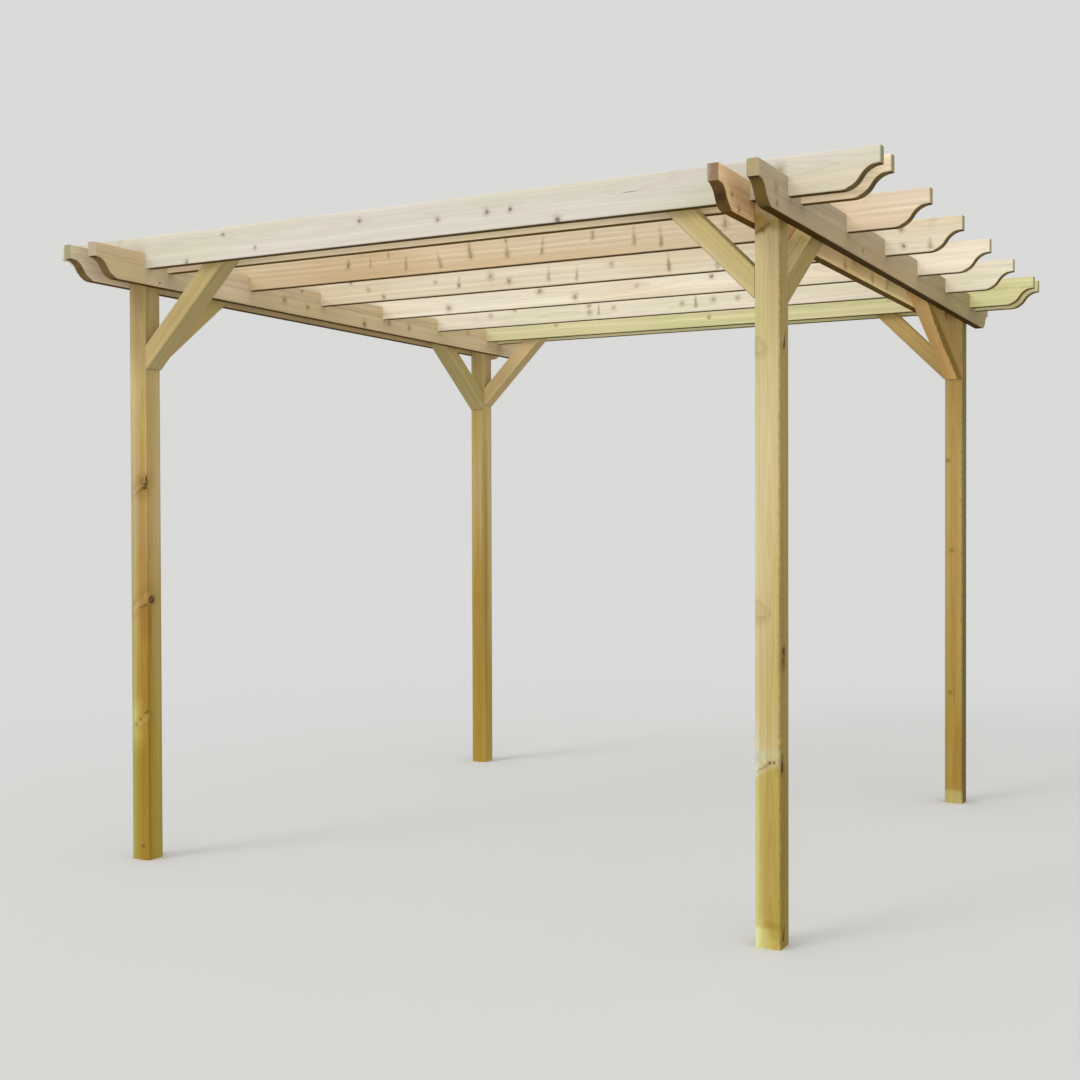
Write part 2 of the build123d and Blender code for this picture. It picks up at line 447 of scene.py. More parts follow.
class Timber:
    """A straight timber of the structure: its centre, axes and half sizes, read from its solid."""

    def __init__(self, name):
        self.name = name
        self.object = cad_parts[name]
        self.low, self.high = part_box(name)
        mesh = self.object.data

        # The flat faces with the most area give the two directions across the timber
        areas = {}
        for face in mesh.polygons:
            normal = Vector([round(c, 3) + 0.0 for c in face.normal])
            if (normal.z, normal.y, normal.x) < (0, 0, 0):
                normal.negate()
            areas[tuple(normal)] = areas.get(tuple(normal), 0) + face.area
        widest = Vector(max(areas, key=areas.get)).normalized()
        beside = [n for n in areas if abs(widest.dot(Vector(n))) < 0.01]
        second = Vector(max(beside, key=areas.get)).normalized()
        self.up, self.side = sorted((widest, second), key=lambda n: (-abs(n.z), -abs(n.y)))
        self.along = self.side.cross(self.up)
        if (round(self.along.z, 3), self.along.x + self.along.y) < (0, 0):
            self.along.negate()
        self.side = self.up.cross(self.along)
        axes = Matrix((self.along, self.side, self.up))
        places = [axes @ v.co for v in mesh.vertices]
        low = Vector([min(p[i] for p in places) for i in range(3)])
        high = Vector([max(p[i] for p in places) for i in range(3)])
        self.axes = axes.transposed()
        self.centre = self.axes @ ((low + high) / 2)
        self.half = (high - low) / 2

    def local(self, point):
        """A place in the frame of the structure, measured along and across the timber."""
        return self.axes.transposed() @ (Vector(point) - self.centre)

    def on_face(self, face, across, upward):
        """The place on a named face, from its two coordinates in the frame of the structure."""
        axis, far = FACE_AXES[face]
        place = [across, upward]
        place.insert(axis, (self.low, self.high)[far][axis])
        return Vector(place)


def knot(start, end, radius, shade, core=0.65, pale=0.0):
    """A branch between two places in a timber: its radius and darkness, and how dark its core is."""
    run = end - start
    return {
        "Start": start, "Direction": run.normalized(), "Length": run.length,
        "Slope": radius / run.length, "Shade": shade, "Core": core, "Pale": pale,
    }


def branch(timber, pith, face, across, upward, radius, shade, core=0.65):
    """A knot on a face: its branch leaves the pith a little lower down and comes out there."""
    end = timber.local(timber.on_face(face, across, upward))
    start = Vector((end.x, *pith))
    start.x -= BRANCH_RISE * (end - start).length
    return knot(start, end, radius, shade, core)


def spike(timber, start, end, radius, shade, pale=0.0):
    """A knot cut along its branch, between two places in the frame of the structure."""
    return knot(timber.local(start), timber.local(end), radius, shade, pale=pale)


def split(timber, pith, face, across, upward, half_length, width):
    """A drying check that comes out at a place on a face."""
    middle = timber.local(timber.on_face(face, across, upward))
    angle = math.atan2(middle.z - pith[1], middle.y - pith[0])
    return {"Angle": angle, "Middle": middle.x, "Half_length": half_length, "Width": width}


def patch(timber, centre, corner, tint, soft=0.4):
    """A patch of another tint: its centre in the structure, and the way to a corner of its box."""
    size = Vector([abs(c) for c in timber.axes.transposed() @ Vector(corner)])
    return {"Centre": timber.local(centre), "Size": size, "Tint": tint, "Soft": soft}


def timber_material(timber, look, knots, checks, patches, seed):
    """The wood of one timber, laid along it, with its knots, checks and patches."""
    material = bpy.data.materials.new(f"{timber.name}_wood")
    material.use_nodes = True
    tree = material.node_tree
    tree.nodes.clear()
    g = Graph(tree)

    coordinates = g.node("ShaderNodeTexCoord")
    mapping = g.node("ShaderNodeMapping", vector_type="TEXTURE")
    mapping.inputs["Location"].default_value = timber.centre
    mapping.inputs["Rotation"].default_value = timber.axes.to_euler()
    feed(tree, mapping.inputs["Vector"], coordinates.outputs["Object"])
    place = mapping.outputs["Vector"]

    pith = Vector((0, *look["pith"]))
    ragged = g.noise(g.vector("MULTIPLY", place, EDGE_NOISE), 2.0, True)
    ragged = g.scaled(g.vector("SUBTRACT", ragged, NOISE_MIDDLE), EDGE_RAGGEDNESS)
    ragged_place = g.vector("ADD", place, ragged)
    nearest = NO_KNOT
    darkest = 0.0
    palest = 0.0
    for mark in knots:
        found = g.group(
            KNOT, Position=ragged_place, Nearest=nearest, Darkest=darkest, Palest=palest, **mark
        )
        nearest = found["Nearest"]
        darkest = found["Darkest"]
        palest = found["Palest"]
    mottle = g.noise(g.vector("MULTIPLY", place, MOTTLE_NOISE), 2.0)
    uneven = g.ramp(mottle, *MOTTLED_KNOT)
    darkest = g.math("MULTIPLY", darkest, uneven)
    palest = g.math("MULTIPLY", palest, uneven)
    opening = 0.0
    for mark in checks:
        opening = g.group(CHECK, Position=place, Pith=pith, Open=opening, **mark)[0]
    tint = WHITE
    for mark in patches:
        tint = g.group(PATCH, Position=ragged_place, Under=tint, **mark)[0]

    normal = g.node("ShaderNodeNewGeometry").outputs["True Normal"]
    # Faces that look up take the finish's top tint: painted light on the front right side brace, and
    # a toning back of the right inner rail's light base
    upper = g.ramp(g.vector("DOT_PRODUCT", normal, timber.up), *TOP_FACE)
    tint = g.mix(upper, tint, g.vector("MULTIPLY", tint, look["top"]))
    facing = g.math("ABSOLUTE", g.vector("DOT_PRODUCT", normal, timber.along))
    down = g.vector("DOT_PRODUCT", normal, (0, 0, -1))
    # Faces that look straight down: they take painted shade and less sheen
    under = g.ramp(down, *UNDER_FACE)
    # The curves of the shaped ends that look down and along: they take painted shade
    cut = g.math("MULTIPLY", g.ramp(down, *CUT_DOWN), g.ramp(facing, *CUT_ALONG))
    cut = g.math("MULTIPLY", cut, g.math("SUBTRACT", 1.0, under))
    grain = g.group(
        SOFTWOOD, Position=place, Pith=pith, Seed=seed, Half_size=timber.half,
        Heart_low=look["heart_radii"][0], Heart_high=look["heart_radii"][1],
        Sap=look["sap"], Heart=look["heart"], Stain=look["stain"], Contrast=look["contrast"],
        Tint=tint, Knot_distance=nearest, Knot_darkness=darkest, Knot_paleness=palest,
        Open=opening, End=g.ramp(facing, *END_FACE), End_tint=look["end"],
        Under=under, Cut=cut, Cut_tint=look["cut"],
    )
    bump = g.node("ShaderNodeBump")
    bump.inputs["Strength"].default_value = BUMP_STRENGTH
    bump.inputs["Distance"].default_value = BUMP_DEPTH
    feed(tree, bump.inputs["Height"], grain["Height"])
    surface = g.node("ShaderNodeBsdfPrincipled")
    feed(tree, surface.inputs["Specular IOR Level"], g.ramp(under, 0.0, 1.0, SHEEN, UNDER_SHEEN))
    feed(tree, surface.inputs["Base Color"], grain["Color"])
    feed(tree, surface.inputs["Roughness"], grain["Roughness"])
    feed(tree, surface.inputs["Normal"], bump.outputs["Normal"])
    leave = g.node("ShaderNodeOutputMaterial")
    feed(tree, leave.inputs["Surface"], surface.outputs["BSDF"])
    return material


def finish(
    sap, heart=None, stain=GREEN_STAIN, pith=(0.0, 0.0), heart_radii=(0.0, 0.0), contrast=1.0,
    end=END_TINT, cut=CUT_PAINTED_SHADE, top=WHITE,
):
    """How one timber is coloured, and where the tree's middle lies in it, across and up."""
    return {
        "sap": sap, "heart": heart or sap, "stain": stain, "pith": pith, "heart_radii": heart_radii,
        "contrast": contrast, "end": end, "cut": cut, "top": top,
    }


# The end and cut tints darken the end grain, and most also hold painted shade for the ends and
# curves that lie in shade
FINISHES = {
    "front_left_post": finish(OLIVE_TAN, HONEY, pith=(0.026, -0.022), heart_radii=(0.060, 0.008)),
    "front_right_post": finish(
        PALE_KHAKI, TAN, pith=(0.010, 0.010), heart_radii=(0.055, 0.030), contrast=0.8,
    ),
    "rear_left_post": finish(OLIVE_TAN, HONEY, pith=(0.0, -0.010), heart_radii=(0.060, 0.020)),
    "rear_right_post": finish(OLIVE_TAN, HONEY, pith=(0.0, 0.0), heart_radii=(0.060, 0.045)),
    "left_outer_rail": finish(
        GREY_TAN, pith=(-0.09, 0.03), end=(0.48, 0.53, 0.40), cut=(0.36, 0.26, 0.14),
    ),
    "left_inner_rail": finish(
        SOFT_TAN, pith=(-0.09, 0.02), end=(0.74, 0.78, 0.92), cut=(0.42, 0.33, 0.20),
    ),
    # Its light base is painted light for its shaded right face, and the top tint tones its top back
    "right_inner_rail": finish(
        PINK_TAN, stain=BROWN_STAIN, pith=(0.08, 0.02), end=(0.30, 0.28, 0.29), cut=DARK_CUT_PAINTED_SHADE,
        top=(0.79, 0.92, 1.12),
    ),
    "right_outer_rail": finish(
        GREY_BROWN, stain=GREY_STAIN, pith=(-0.09, 0.01), cut=(0.42, 0.33, 0.145),
    ),
    "front_outer_rafter": finish(
        WHITE_CREAM, pith=(0.10, 0.02), contrast=0.45, end=SHADED_END_TINT,
    ),
    "front_inner_rafter": finish(
        GOLD_CREAM, pith=(0.10, 0.02), end=(0.34, 0.34, 0.24), cut=DARK_CUT_PAINTED_SHADE,
    ),
    "second_rafter": finish(WARM_CREAM, stain=BROWN_STAIN, pith=(0.07, 0.09), end=SHADED_END_TINT),
    "third_rafter": finish(
        CREAM, stain=BROWN_STAIN, pith=(0.08, 0.05), contrast=0.7, end=SHADED_END_TINT,
    ),
    "fourth_rafter": finish(
        BRIGHT_CREAM, stain=BROWN_STAIN, pith=(0.10, 0.0), contrast=0.6, end=SHADED_END_TINT,
    ),
    "fifth_rafter": finish(PALE_CREAM, pith=(0.08, -0.03), contrast=0.7, end=SHADED_END_TINT),
    "rear_inner_rafter": finish(GREEN_CREAM, pith=(0.10, 0.02), contrast=0.8, end=SHADED_END_TINT),
    "rear_outer_rafter": finish(GREEN_CREAM, pith=(0.10, 0.02), end=SHADED_END_TINT),
    "front_right_cross_brace": finish(PALE_OLIVE, pith=(0.0, -0.09), cut=SOFT_CUT_PAINTED_SHADE),
    "rear_left_cross_brace": finish(LIGHT_OLIVE, pith=(0.02, -0.08), cut=SOFT_CUT_PAINTED_SHADE),
    "rear_right_cross_brace": finish(
        BROWN_TAN, stain=BROWN_STAIN, pith=(-0.02, -0.09), cut=SOFT_CUT_PAINTED_SHADE,
    ),
    "rear_right_side_brace": finish(
        ORANGE_TAN, stain=BROWN_STAIN, pith=(0.01, -0.09), cut=SOFT_CUT_PAINTED_SHADE,
    ),
    # The top tint is painted light on the brace's upper face
    "front_right_side_brace": finish(
        DARK_OLIVE, pith=(0.02, -0.09), cut=SOFT_CUT_PAINTED_SHADE, top=(2.30, 2.70, 3.70),
    ),
}
BRACE_FINISH = finish(OLIVE_TAN, TAN, pith=(0.0, -0.09), heart_radii=(0.08, 0.08), cut=SOFT_CUT_PAINTED_SHADE)

# Knots on a face: how far across and up they come out, radius, darkness and that of the core
KNOTS = {
    "front_outer_rafter": [
        ("front", -0.95, 2.768, 0.007, 0.7), ("front", -0.775, 2.696, 0.006, 0.5),
        ("front", -1.155, 2.668, 0.007, 0.6), ("front", -0.235, 2.755, 0.007, 0.8),
        ("front", 0.14, 2.722, 0.007, 0.6), ("front", 0.365, 2.728, 0.008, 0.8),
        ("front", 0.47, 2.728, 0.007, 0.8), ("front", 0.675, 2.668, 0.009, 0.7, 1.0),
        ("front", 1.55, 2.755, 0.010, 0.3),
    ],
    "third_rafter": [
        ("front", -1.20, 2.765, 0.007, 0.6), ("front", -1.09, 2.72, 0.007, 0.3),
        ("front", -0.995, 2.675, 0.008, 0.5), ("front", -0.685, 2.725, 0.006, 0.3),
        ("front", -0.545, 2.698, 0.007, 0.8), ("front", -0.365, 2.73, 0.011, 0.35),
        ("front", -0.26, 2.697, 0.009, 0.5), ("front", 0.29, 2.733, 0.008, 0.3),
        ("front", 1.65, 2.765, 0.008, 0.5), ("front", 1.66, 2.69, 0.007, 0.8),
    ],
    "fourth_rafter": [
        ("front", -0.96, 2.692, 0.011, 0.5), ("front", -0.40, 2.74, 0.011, 0.6),
        ("front", -0.19, 2.694, 0.010, 0.6), ("front", 0.16, 2.724, 0.006, 0.3),
        ("front", 0.565, 2.74, 0.008, 0.8),
    ],
    "fifth_rafter": [
        ("front", -1.03, 2.724, 0.008, 0.3), ("front", -0.87, 2.75, 0.008, 0.5),
        ("front", -0.395, 2.738, 0.008, 0.5), ("front", -0.39, 2.70, 0.010, 0.4),
        ("front", -0.24, 2.717, 0.007, 0.4), ("front", 0.17, 2.707, 0.008, 0.5),
        ("front", 0.35, 2.717, 0.009, 0.4), ("front", 0.49, 2.715, 0.008, 0.3),
    ],
    "rear_inner_rafter": [
        ("front", -0.90, 2.73, 0.007, 0.4), ("front", 0.10, 2.71, 0.007, 0.4),
        ("front", 1.15, 2.74, 0.008, 0.4),
    ],
    "left_inner_rail": [
        ("right", -0.61, 2.65, 0.011, 0.5), ("right", -0.465, 2.717, 0.007, 0.5),
        ("right", -0.42, 2.64, 0.009, 0.6), ("right", 0.09, 2.61, 0.012, 0.8),
        ("right", 0.33, 2.648, 0.011, 0.5), ("right", 0.535, 2.643, 0.010, 0.4),
        ("right", 1.19, 2.687, 0.008, 0.4),
    ],
    "right_outer_rail": [
        ("right", -1.725, 2.66, 0.012, 0.25), ("right", -1.717, 2.609, 0.008, 0.8),
        ("right", -0.65, 2.623, 0.008, 0.6),
    ],
    "right_inner_rail": [
        ("right", -1.78, 2.645, 0.008, 0.6), ("right", -1.71, 2.605, 0.007, 0.6),
        ("right", -0.42, 2.61, 0.013, 0.4), ("right", 0.005, 2.615, 0.012, 0.4),
        ("right", 0.255, 2.615, 0.010, 0.35),
    ],
    "front_right_post": [
        ("right", -1.519, 1.064, 0.012, 1.3, 1.0), ("right", -1.526, 1.028, 0.010, 0.5),
        ("front", 1.496, 0.666, 0.005, 0.8), ("front", 1.512, 0.669, 0.005, 0.8),
        ("front", 1.475, 0.650, 0.004, 0.5),
    ],
    "front_left_post": [
        ("front", -1.468, 0.062, 0.008, 1.0), ("right", -1.526, 1.178, 0.019, 1.2, 0.45),
        ("front", -1.462, 1.712, 0.019, 0.40, 0.5), ("front", -1.480, 0.637, 0.007, 0.7),
        ("front", -1.503, 0.611, 0.008, 0.5),
    ],
    "rear_right_post": [
        ("front", 1.455, 1.85, 0.008, 0.5), ("front", 1.475, 1.365, 0.008, 0.4),
        ("front", 1.47, 0.60, 0.008, 0.4),
    ],
}

# Knots cut along their branch: where it starts and ends, its radius there and how dark it is
SPIKES = {
    "second_rafter": [
        ((-0.802, -0.878, 2.757), (-0.805, -0.884, 2.728), 0.008, 0.66),
        ((-0.676, -0.878, 2.78), (-0.680, -0.884, 2.715), 0.004, 0.36),
        ((-0.577, -0.884, 2.745), (-0.579, -0.878, 2.790), 0.005, 0.44),
        ((-0.477, -0.878, 2.76), (-0.482, -0.884, 2.69), 0.005, 0.36),
        ((-0.315, -0.878, 2.755), (-0.292, -0.884, 2.685), 0.006, 0.50),
        ((-0.150, -0.878, 2.80), (-0.135, -0.884, 2.715), 0.008, 0.44),
        ((0.045, -0.878, 2.785), (0.046, -0.884, 2.765), 0.005, 0.58),
        ((0.050, -0.878, 2.745), (0.053, -0.884, 2.705), 0.008, 0.36),
        ((0.235, -0.878, 2.785), (0.226, -0.884, 2.70), 0.005, 0.50),
        ((0.470, -0.878, 2.80), (0.472, -0.884, 2.74), 0.006, 0.44),
        ((0.665, -0.878, 2.78), (0.668, -0.884, 2.70), 0.006, 0.36),
        ((0.785, -0.878, 2.77), (0.792, -0.884, 2.68), 0.006, 0.50),
        ((1.070, -0.878, 2.77), (1.076, -0.884, 2.735), 0.009, 0.44),
    ],
    "third_rafter": [
        ((-0.545, -0.304, 2.76), (-0.545, -0.309, 2.71), 0.004, 0.3),
        ((-0.044, -0.304, 2.75), (-0.043, -0.309, 2.69), 0.006, 0.35),
        ((0.110, -0.304, 2.75), (0.107, -0.309, 2.68), 0.005, 0.45),
        ((0.575, -0.304, 2.755), (0.583, -0.309, 2.685), 0.007, 0.6),
        ((0.815, -0.304, 2.75), (0.820, -0.309, 2.675), 0.006, 0.35),
        ((1.770, -0.304, 2.72), (1.772, -0.309, 2.68), 0.006, 0.3),
    ],
    "fifth_rafter": [
        ((-0.333, 0.846, 2.75), (-0.333, 0.841, 2.69), 0.005, 0.4),
        ((0.246, 0.846, 2.75), (0.249, 0.841, 2.69), 0.006, 0.6),
    ],
    "front_left_post": [
        ((-1.515, -1.555, 1.662), (-1.446, -1.555, 1.722), 0.020, 0.0, 0.6),
        ((-1.443, -1.555, 1.742), (-1.435, -1.552, 1.715), 0.010, 1.4),
        ((-1.435, -1.552, 1.716), (-1.450, -1.555, 1.686), 0.010, 1.3),
        ((-1.510, -1.555, 1.655), (-1.455, -1.555, 1.688), 0.006, 0.55),
        ((-1.512, -1.555, 1.136), (-1.436, -1.555, 1.192), 0.026, 0.0, 0.9),
        ((-1.507, -1.555, 1.138), (-1.437, -1.555, 1.160), 0.006, 0.7),
        ((-1.505, -1.555, 0.602), (-1.440, -1.555, 0.650), 0.018, 0.0, 0.9),
        ((-1.460, -1.555, 0.667), (-1.437, -1.555, 0.676), 0.005, 0.9),
    ],
    "front_right_post": [
        ((1.443, -1.555, 2.553), (1.470, -1.555, 2.562), 0.007, 0.7),
        ((1.465, -1.555, 2.559), (1.492, -1.555, 2.581), 0.006, 0.6),
        ((1.535, -1.498, 2.190), (1.535, -1.513, 2.152), 0.009, 1.5),
        ((1.450, -1.555, 2.170), (1.458, -1.555, 2.140), 0.014, 0.0, 0.5),
        ((1.448, -1.555, 1.232), (1.462, -1.555, 1.195), 0.016, 0.0, 0.35),
        ((1.445, -1.555, 1.180), (1.475, -1.555, 1.187), 0.004, 0.3),
        ((1.535, -1.531, 0.697), (1.535, -1.537, 0.642), 0.012, 1.6),
        ((1.535, -1.511, 0.078), (1.535, -1.524, 0.035), 0.008, 1.5),
        ((1.450, -1.555, 0.630), (1.495, -1.555, 0.666), 0.004, 0.5),
    ],
}

# Drying checks on a face: how far across and up, half length and width
CHECKS = {
    "front_outer_rafter": [("front", 0.974, 2.741, 0.036, 0.0016)],
    "rear_left_post": [("right", 1.472, 1.05, 0.95, 0.0022)],
    "front_left_post": [("left", -1.50, 1.3, 0.6, 0.0015)],
    "front_right_post": [("back", 1.49, 1.4, 0.7, 0.0015)],
    "rear_right_post": [("right", 1.51, 1.2, 0.7, 0.0018)],
    "left_inner_rail": [("left", 0.3, 2.665, 0.7, 0.0012)],
    "right_outer_rail": [("right", 0.9, 2.667, 0.5, 0.0012)],
}

# Patches of another tint: centre, the way to a corner of their box, tint and how soft the edge is.
# Those that are painted light and shade say so
AMBER_TINT = (0.76, 0.78, 0.53)
PATCHES = {
    "front_left_post": [
        ((-1.49, -1.51, 0.0), (0.3, 0.3, 1.1), (0.73, 0.76, 0.38), 0.6),
        ((-1.49, -1.56, 1.45), (0.06, 0.03, 0.35), (0.93, 0.90, 0.98), 0.6),
        ((-1.535, -1.56, 1.3), (0.030, 0.035, 3.0), (1.10, 1.16, 1.40), 0.5),
        ((-1.446, -1.56, 0.7), (0.034, 0.026, 1.2), (0.86, 0.83, 0.70), 0.6),
        ((-1.49, -1.56, 2.5), (0.10, 0.03, 0.42), (0.79, 0.74, 0.75), 0.4),
        # Painted light on the right face
        ((-1.435, -1.50, 1.9), (0.02, 0.08, 0.60), (1.13, 1.14, 1.32), 0.4),
        ((-1.49, -1.56, 0.62), (0.04, 0.03, 0.10), (1.30, 1.42, 2.00), 0.6),
        ((-1.50, -1.56, 2.17), (0.045, 0.03, 0.12), (1.26, 1.26, 1.34), 0.6),
        # Painted light on the right face, low down
        ((-1.435, -1.50, 0.4), (0.02, 0.03, 0.55), (1.12, 1.28, 1.60), 0.6),
        ((-1.51, -1.56, 0.25), (0.03, 0.03, 0.50), (1.00, 1.10, 1.30), 0.6),
        ((-1.46, -1.555, 1.68), (0.035, 0.03, 0.055), (0.80, 0.74, 0.60), 0.6),
        ((-1.455, -1.555, 1.10), (0.030, 0.04, 0.10), (0.86, 0.80, 0.64), 0.6),
    ],
    "front_right_post": [
        # Painted shade on the right face
        ((1.605, -1.51, 1.4), (0.076, 0.4, 6.0), (0.62, 0.56, 0.39), 0.08),
        ((1.47, -1.56, 1.60), (0.07, 0.03, 0.42), (1.07, 1.10, 1.20), 0.6),
        ((1.52, -1.56, 2.40), (0.05, 0.03, 0.18), (0.86, 0.82, 0.78), 0.8),
        # Painted shadow under the rail, at the top of the front face and at the right arris
        ((1.443, -1.56, 2.585), (0.055, 0.03, 0.038), (0.62, 0.53, 0.32), 0.4),
        ((1.530, -1.55, 2.580), (0.035, 0.04, 0.026), (0.66, 0.60, 0.40), 0.5),
        ((1.53, -1.56, 0.3), (0.068, 0.05, 1.5), (0.90, 0.83, 0.65), 0.4),
        ((1.60, -1.51, 0.3), (0.30, 0.3, 0.37), (0.85, 0.87, 0.57), 0.03),
        ((1.448, -1.555, 0.665), (0.032, 0.03, 0.048), (1.00, 1.08, 1.25), 0.15),
        ((1.505, -1.555, 0.688), (0.048, 0.03, 0.036), (1.00, 1.08, 1.25), 0.15),
        ((1.47, -1.555, 0.720), (0.10, 0.03, 0.060), (1.00, 1.05, 1.12), 0.8),
        ((1.44, -1.555, 0.35), (0.018, 0.03, 0.45), (1.12, 1.25, 1.50), 0.5),
        ((1.460, -1.555, 0.02), (0.040, 0.03, 0.075), (1.25, 1.42, 1.8), 0.4),
        ((1.515, -1.555, 0.005), (0.022, 0.03, 0.030), (1.15, 1.15, 1.1), 0.2),
        ((1.49, -1.56, 0.085), (0.06, 0.03, 0.012), (0.86, 0.78, 0.64), 0.8),
        ((1.50, -1.56, 0.32), (0.04, 0.03, 0.26), (0.95, 0.89, 0.82), 0.6),
        ((1.535, -1.521, 1.035), (0.02, 0.026, 0.045), (0.66, 0.50, 0.36), 0.6),
    ],
    "rear_left_post": [
        ((-1.49, 1.51, 0.0), (0.3, 0.3, 1.1), AMBER_TINT, 0.6),
        ((-1.445, 1.46, 1.35), (0.014, 0.05, 0.8), (0.75, 0.70, 0.50), 0.5),
        ((-1.49, 1.46, 1.6), (0.2, 0.03, 1.0), (0.95, 0.93, 0.87), 0.5),
        # Painted light on the right face
        ((-1.370, 1.51, 1.4), (0.076, 0.4, 6.0), (1.15, 1.17, 1.27), 0.08),
    ],
    "rear_right_post": [
        ((1.49, 1.51, 0.0), (0.3, 0.3, 1.1), AMBER_TINT, 0.6),
        # Painted shade on the right face: the shadow of a tree
        ((1.605, 1.51, 1.4), (0.077, 0.4, 6.0), (0.44, 0.46, 0.30), 0.08),
        ((1.515, 1.46, 0.22), (0.03, 0.03, 0.22), (0.88, 0.80, 0.68), 0.5),
        ((1.49, 1.46, 2.4), (0.1, 0.03, 0.4), (0.93, 0.87, 0.81), 0.5),
        ((1.49, 1.46, -0.4), (0.5, 0.025, 0.47), (1.25, 1.55, 2.6), 0.03),
    ],
    "right_inner_rail": [
        ((1.3955, -1.90, 2.70), (0.012, 0.02, 0.10), (1.50, 1.70, 2.00), 0.5),
        # Painted light on the far half of its right face and its lower edge, in the outer rail's
        # shade
        ((1.46, 1.2, 2.66), (0.045, 2.0, 0.3), (1.15, 1.30, 1.14), 0.3),
        ((1.415, 1.2, 2.583), (0.03, 1.8, 0.010), (1.12, 1.22, 1.08), 0.4),
        # Tones the left face back from the painted light of the base
        ((1.385, 0.0, 2.66), (0.02, 3.0, 0.3), (0.79, 0.92, 1.12), 0.3),
    ],
    "left_inner_rail": [
        ((-1.39, 0.7, 2.66), (0.05, 1.9, 0.2), (1.07, 1.08, 1.13), 0.3),
        ((-1.40, -1.2, 2.66), (0.1, 0.3, 0.2), (1.12, 1.16, 1.30), 0.5),
        ((-1.39, -1.5, 2.64), (0.03, 0.12, 0.08), (1.10, 1.14, 1.25), 0.5),
    ],
    # Painted shade along the lower part of the right face, in the gap between the two rails
    "left_outer_rail": [((-1.535, 0.4, 2.61), (0.03, 1.7, 0.1), (0.72, 0.62, 0.46), 0.3)],
    "right_outer_rail": [
        # Painted shade of a tree over the far end of the right face
        ((1.58, 1.5, 2.66), (0.1, 1.0, 0.3), (0.80, 0.79, 0.60), 0.4),
        ((1.58, -0.2, 2.60), (0.1, 0.9, 0.06), (1.04, 0.96, 0.80), 0.7),
    ],
    "front_outer_rafter": [((1.80, -1.60, 2.69), (0.35, 0.1, 0.06), (1.04, 0.98, 0.94), 0.6)],
    "front_left_cross_brace": [
        ((-1.21, -1.56, 2.593), (0.25, 0.03, 0.314), (1.16, 1.20, 1.38), 0.7),
    ],
    "front_right_cross_brace": [
        ((1.27, -1.56, 2.493), (0.25, 0.03, -0.29), (1.12, 1.15, 1.36), 0.8),
    ],
    # Painted shadow where the brace meets the rail
    "front_right_side_brace": [((1.49, -1.19, 2.575), (0.05, 0.06, 0.05), (0.64, 0.55, 0.38), 0.5)],
    # Painted shade of a tree on the brace's right face
    "rear_right_side_brace": [((1.585, 1.2, 2.45), (0.08, 2.0, 2.0), (0.38, 0.38, 0.24), 0.04)],
    "second_rafter": [
        ((-0.76, -0.885, 2.72), (0.36, 0.1, 0.1), (0.87, 0.81, 0.72), 0.5),
        ((-1.40, -0.885, 2.72), (0.25, 0.1, 0.1), (0.97, 0.96, 0.92), 0.6),
        ((-0.35, -0.885, 2.67), (1.4, 0.03, 0.035), (0.95, 0.90, 0.84), 0.8),
        ((1.75, -0.885, 2.73), (0.35, 0.1, 0.1), (1.10, 1.12, 1.22), 0.5),
    ],
}

# Knots on the faces that the camera doesn't see: which faces, how many, how far in from the
# edges, how big and how dark
HIDDEN_FACES = {"rafter": ("back", "top"), "rail": ("left", "top"), "post": ("left", "back")}
KNOTS_PER_METRE = 1.2
KNOT_INSET = 0.01
KNOT_RADII = (0.005, 0.012)
KNOT_SHADES = (0.3, 0.8)
CENTRE = (0.0, 0.0)

# How far apart the timbers lie in the noise, so that no two have the same grain
NOISE_STEP = Vector((3.1, 7.3, 5.7))

timbers = {name: Timber(name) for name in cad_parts}


def hidden_knots(timber, seed):
    """Knots at random on the two hidden faces of a timber, as many to a metre on each."""
    draw = random.Random(seed)
    kind = timber.name.split("_")[-1]
    found = []
    for face in HIDDEN_FACES.get(kind, ()):
        axis = FACE_AXES[face][0]
        across, upward = [i for i in range(3) if i != axis]
        for _ in range(round(KNOTS_PER_METRE * 2 * timber.half.x)):
            place = [
                draw.uniform(timber.low[i] + KNOT_INSET, timber.high[i] - KNOT_INSET)
                for i in (across, upward)
            ]
            radius = draw.uniform(*KNOT_RADII)
            shade = draw.uniform(*KNOT_SHADES)
            found.append(branch(timber, CENTRE, face, *place, radius, shade))
    return found


for order, (name, timber) in enumerate(sorted(timbers.items())):
    look = FINISHES.get(name, BRACE_FINISH)
    seed = NOISE_STEP * (order + 1)
    knots = [branch(timber, look["pith"], *mark) for mark in KNOTS.get(name, [])]
    knots += [spike(timber, *mark) for mark in SPIKES.get(name, [])]
    knots += hidden_knots(timber, order)
    checks = [split(timber, look["pith"], *mark) for mark in CHECKS.get(name, [])]
    patches = [patch(timber, *mark) for mark in PATCHES.get(name, [])]
    wood = timber_material(timber, look, knots, checks, patches, seed)
    for slot in timber.object.material_slots:
        slot.material = wood

# The screw heads, in metres, and how high the two at each post lie over the rail's underside
HEAD_RADIUS = 0.0052
HEAD_RISE = 0.0004
RECESS_RADIUS = 0.0020
RECESS_WAVE = 0.0003
LOBES = 6
HEAD_STEPS = 36
RAIL_SCREW_RISES = (0.018, 0.105)

STEEL_ROUGHNESS = 0.35
STEEL_UNEVENNESS = 0.3


